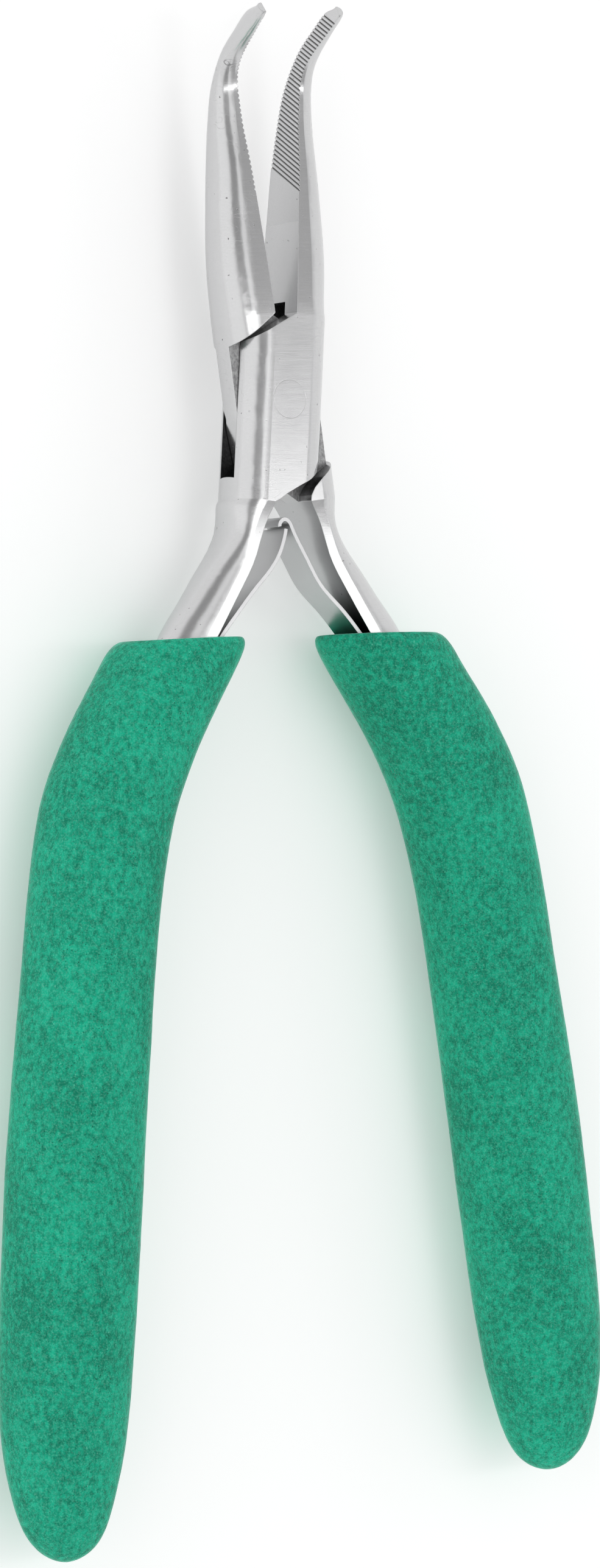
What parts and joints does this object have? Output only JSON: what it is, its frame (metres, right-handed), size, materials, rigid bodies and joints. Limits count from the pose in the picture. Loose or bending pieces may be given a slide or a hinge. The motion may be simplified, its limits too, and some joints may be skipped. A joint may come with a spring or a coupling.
{
  "type": "needle nose pliers",
  "caption": "Bent needle nose pliers with a box joint, serrated jaws, leaf return springs and foam grips.",
  "frame": {"origin": "on the pivot axis at the back face of the joint", "axes": "+X across the handles, +Y along the tool toward the jaws, +Z along the pivot axis toward the side the tips bend to"},
  "size_m": [0.0776, 0.1658, 0.0165],
  "materials": {
    "steel": "satin",
    "spring_steel": "satin",
    "foam": "matt foam"
  },
  "bodies": {
    "box_body": {"box_half": "steel", "pivot_pin": "steel", "left_spring_rivet": "spring_steel", "left_grip": "foam"},
    "tongue_body": {"tongue_half": "steel", "right_spring_rivet": "spring_steel", "right_grip": "foam"},
    "left_leaf": {"left_leaf_spring": "spring_steel"},
    "right_leaf": {"right_leaf_spring": "spring_steel"}
  },
  "joints": [
    {"name": "jaw_pivot", "type": "hinge", "parent": "box_body", "child": "tongue_body", "pos_m": [0, 0, 0.0037], "axis": [0, 0, -1], "range_deg": [0, 13.2], "stiffness_Nm_per_rad": 0.4, "springref_deg": -14.32},
    {"name": "left_leaf_flex", "type": "hinge", "parent": "box_body", "child": "left_leaf", "pos_m": [-0.01194, -0.02956, 0.0037], "axis": [0, 0, 1], "range_deg": [0, 5.5]},
    {"name": "right_leaf_flex", "type": "hinge", "parent": "tongue_body", "child": "right_leaf", "pos_m": [0.01194, -0.02956, 0.0037], "axis": [0, 0, -1], "range_deg": [0, 5.5]}
  ],
  "couplings": [
    {"joint": "left_leaf_flex", "follows": "jaw_pivot", "ratio": 0.408},
    {"joint": "right_leaf_flex", "follows": "jaw_pivot", "ratio": 0.408}
  ]
}
